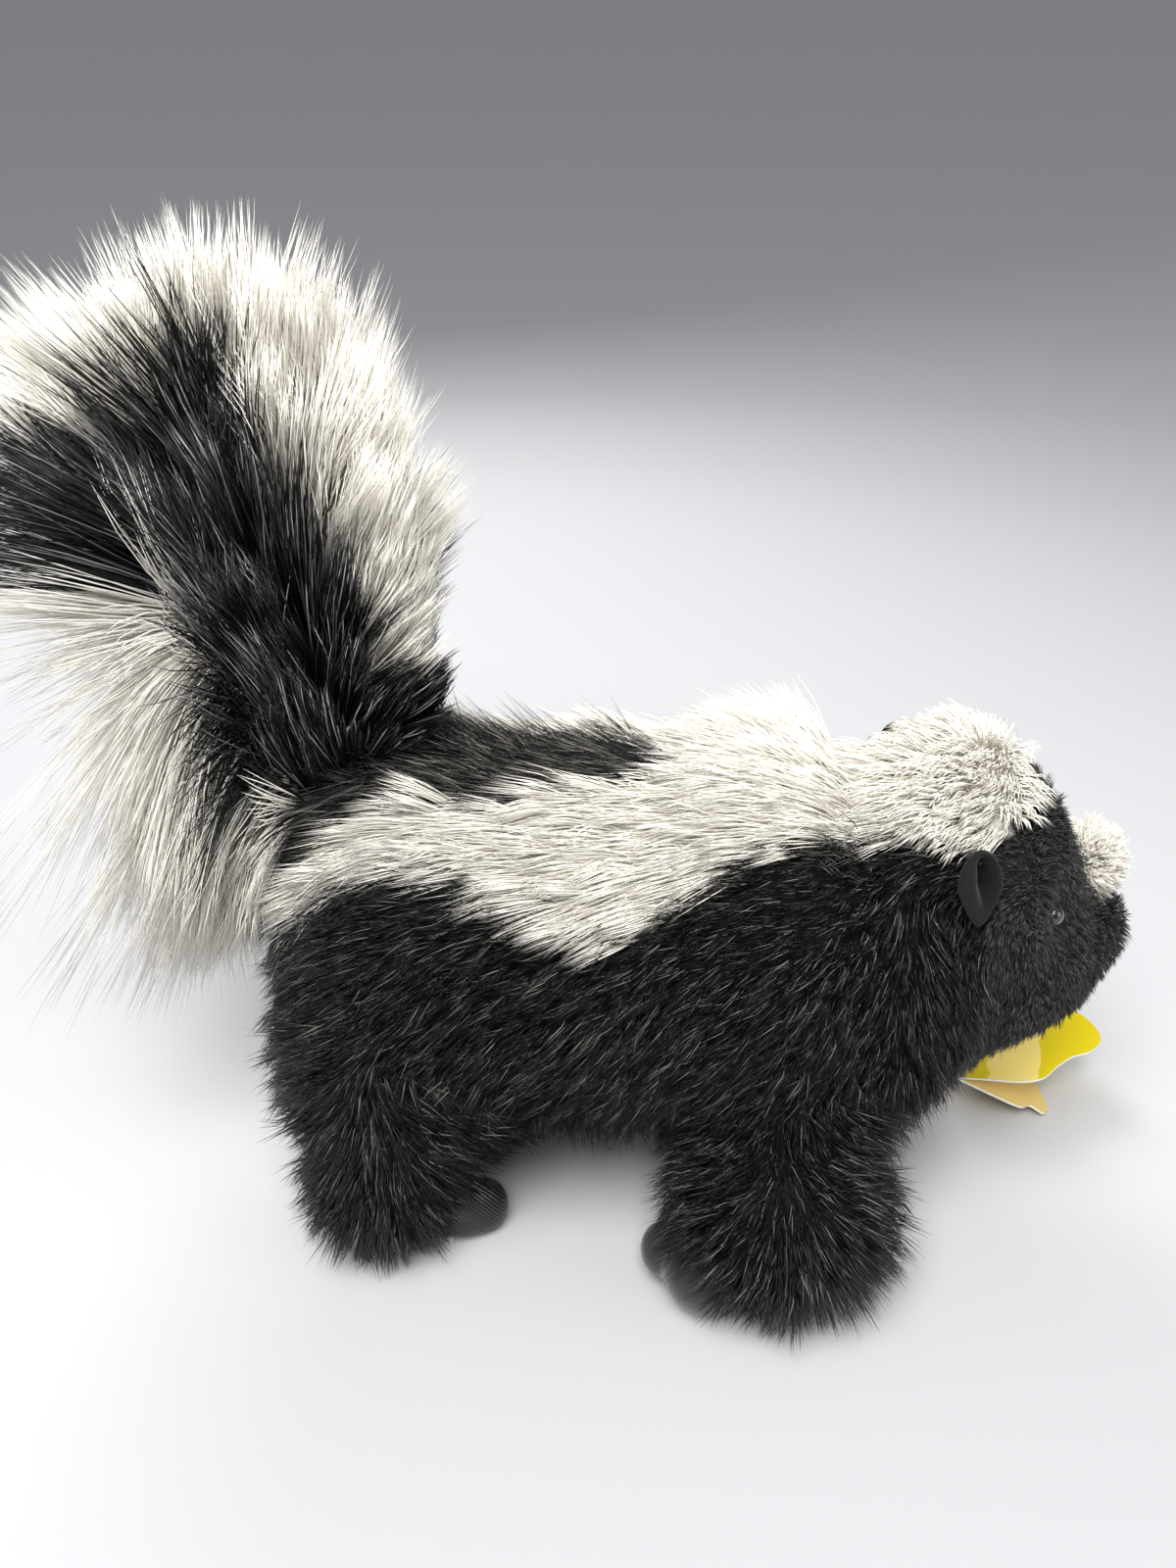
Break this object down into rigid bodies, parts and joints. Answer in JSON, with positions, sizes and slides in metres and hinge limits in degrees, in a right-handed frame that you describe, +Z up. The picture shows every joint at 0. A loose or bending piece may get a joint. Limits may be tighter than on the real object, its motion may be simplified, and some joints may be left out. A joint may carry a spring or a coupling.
{
  "type": "plush toy skunk",
  "caption": "Plush toy skunk standing low on splayed legs, with white crest and stripes, a raised long-haired plume tail and a folded hang tag.",
  "frame": {"origin": "on the surface that the toy stands on, under the middle of its overall length and breadth", "axes": "+X from tail to nose, +Y to the toy's left side, +Z up"},
  "size_m": [0.3195, 0.1678, 0.2489],
  "materials": {
    "black_pile": "short glossy plush pile, black with pale glints",
    "black_velour": "short velvet pile, black",
    "white_pile": "long soft plush pile, warm white",
    "black_felt": "fine felt, black",
    "paw_suede": "smooth suede cloth, brown-black",
    "eye_bead": "polished bead, near black",
    "tag_yellow": "satin printed card, yellow",
    "tag_cream": "satin printed card, cream",
    "tag_cord": "thin twisted cord"
  },
  "bodies": {
    "root": {"body": "black_pile", "neck": "black_pile", "head": "black_velour", "crest": "white_pile", "mantle": "white_pile", "stripe_right": "white_pile", "stripe_left": "white_pile", "front_leg_right": "black_pile", "front_paw_right": "paw_suede", "hind_leg_right": "black_pile", "hind_paw_right": "paw_suede", "front_leg_left": "black_pile", "front_paw_left": "paw_suede", "hind_leg_left": "black_pile", "hind_paw_left": "paw_suede", "ear_right": "black_felt", "ear_left": "black_felt", "eye_right": "eye_bead", "eye_left": "eye_bead", "nose_tuft": "white_pile", "tail_lower": "black_pile", "tail_upper": "black_pile", "tail_fringe": "white_pile", "tag_upper_leaf": "tag_yellow", "tag_lower_leaf": "tag_cream", "tag_loop": "tag_cord"}
  },
  "joints": []
}
